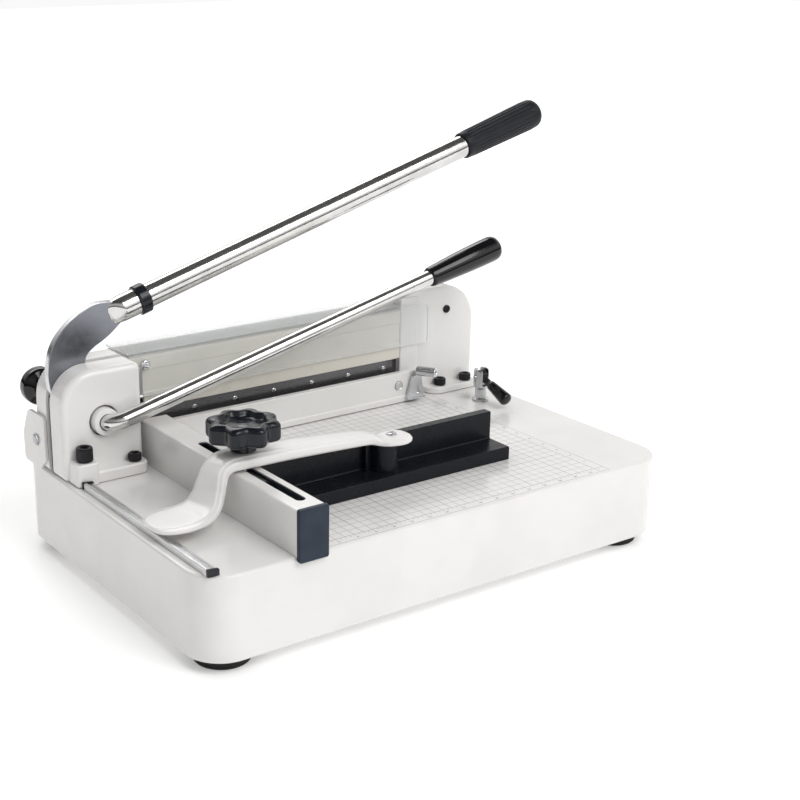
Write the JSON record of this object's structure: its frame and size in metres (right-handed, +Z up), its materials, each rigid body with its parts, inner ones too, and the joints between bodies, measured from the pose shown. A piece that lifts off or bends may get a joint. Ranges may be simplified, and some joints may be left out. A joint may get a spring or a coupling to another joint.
{
  "type": "guillotine paper cutter",
  "caption": "Desktop stack cutter with an enamelled base, a linked blade under a long lever, a rack-lifted clamp bar with its own lever, a clear guard and a sliding back gauge.",
  "frame": {"origin": "on the floor under the middle of the whole object's box at rest, at the level of the feet's undersides", "axes": "+X along the blade from the pivot casing to the post, +Y from the back gauge towards the blade and the operator's side, +Z up"},
  "size_m": [0.6167, 0.3753, 0.4142],
  "materials": {
    "enamel": "smooth warm-white stove enamel",
    "cream": "cream enamel",
    "chrome": "bright chrome plate",
    "steel": "ground steel",
    "aluminium": "satin extrusion",
    "black_plastic": "moulded satin black",
    "gloss_black": "polished phenolic black",
    "slate_plastic": "moulded dark slate",
    "black_steel": "black oxide",
    "rubber": "moulded rubber",
    "red_plastic": "red cutting strip",
    "acrylic": "clear folded sheet"
  },
  "bodies": {
    "base": {"base_shell": "enamel", "bottom_plate": "enamel", "foot_1": "rubber", "foot_2": "rubber", "foot_3": "rubber", "foot_4": "rubber", "cutting_stick": "red_plastic", "scale_rail": "aluminium", "scale_rail_cap_outer": "black_plastic", "scale_rail_cap_inner": "black_plastic", "side_guide": "enamel", "side_guide_cap": "slate_plastic", "casing_near": "enamel", "casing_far": "enamel", "casing_bolt_main": "black_steel", "casing_bolt_low": "black_steel", "side_bracket": "enamel", "side_bracket_bolt": "steel", "pivot_shaft": "steel", "right_post": "enamel", "post_bolt_left": "black_steel", "post_bolt_right": "black_steel", "post_screw": "black_steel", "top_beam": "cream", "rear_guard": "acrylic", "guard_screw": "chrome", "cam_stud": "chrome"},
    "blade_lever": {"lever_plate": "chrome", "lever_socket": "chrome", "lever_collar": "black_plastic", "lever_tube": "chrome", "lever_grip": "black_plastic", "crank_pin": "steel"},
    "blade_carriage": {"blade_carrier": "black_steel", "blade": "steel", "blade_screw_1": "steel", "blade_screw_2": "steel", "blade_screw_3": "steel", "blade_screw_4": "steel", "blade_screw_5": "steel", "blade_screw_6": "steel"},
    "swing_link": {"swing_link": "steel", "link_pin": "steel"},
    "clamp_lever": {"clamp_hub": "enamel", "clamp_pinion": "steel", "clamp_rod": "chrome", "clamp_grip": "gloss_black"},
    "clamp": {"clamp_beam": "enamel", "clamp_rack": "steel", "clamp_plug": "aluminium", "clamp_bracket": "chrome", "clamp_roller": "chrome"},
    "back_gauge": {"gauge_carriage": "steel", "gauge_arm": "enamel", "gauge_pusher": "black_plastic", "arm_screw": "chrome"},
    "gauge_knob": {"star_knob": "black_plastic", "knob_stud": "steel"},
    "quick_lever": {"cam_handle": "gloss_black"},
    "lock_knob": {"safety_knob": "gloss_black"}
  },
  "joints": [
    {"name": "blade_lever_hinge", "type": "hinge", "parent": "base", "child": "blade_lever", "pos_m": [-0.2583, 0.1137, 0.15], "axis": [0, -1, 0], "range_deg": [0, 60]},
    {"name": "blade_hang_hinge", "type": "hinge", "parent": "blade_lever", "child": "blade_carriage", "pos_m": [-0.2202, 0.1247, 0.128], "axis": [0, -1, 0], "range_deg": [-60, 0]},
    {"name": "swing_link_hinge", "type": "hinge", "parent": "base", "child": "swing_link", "pos_m": [0.1357, 0.1327, 0.15], "axis": [0, -1, 0], "range_deg": [0, 60]},
    {"name": "clamp_lever_hinge", "type": "hinge", "parent": "base", "child": "clamp_lever", "pos_m": [-0.2583, 0.0937, 0.15], "axis": [0, -1, 0], "range_deg": [0, 80]},
    {"name": "clamp_slide", "type": "slide", "parent": "base", "child": "clamp", "axis": [0, 0, 1], "range_m": [0, 0.042]},
    {"name": "gauge_slide", "type": "slide", "parent": "base", "child": "back_gauge", "axis": [0, 1, 0], "range_m": [-0.07, 0.068]},
    {"name": "gauge_knob_turn", "type": "hinge", "parent": "back_gauge", "child": "gauge_knob", "pos_m": [-0.1953, -0.0703, 0.154], "axis": [0, 0, 1], "range_deg": [0, 180]},
    {"name": "quick_lever_hinge", "type": "hinge", "parent": "base", "child": "quick_lever", "pos_m": [0.1957, 0.0597, 0.122], "axis": [-1, 0, 0], "range_deg": [0, 100]},
    {"name": "lock_knob_slide", "type": "slide", "parent": "base", "child": "lock_knob", "axis": [0, 1, 0], "range_m": [0, 0.01], "stiffness_N_per_m": 300, "springref_m": -0.004}
  ],
  "couplings": [
    {"joint": "blade_hang_hinge", "follows": "blade_lever_hinge", "ratio": -1},
    {"joint": "swing_link_hinge", "follows": "blade_lever_hinge", "ratio": 1},
    {"joint": "clamp_slide", "follows": "clamp_lever_hinge", "m_per_rad": 0.03}
  ]
}
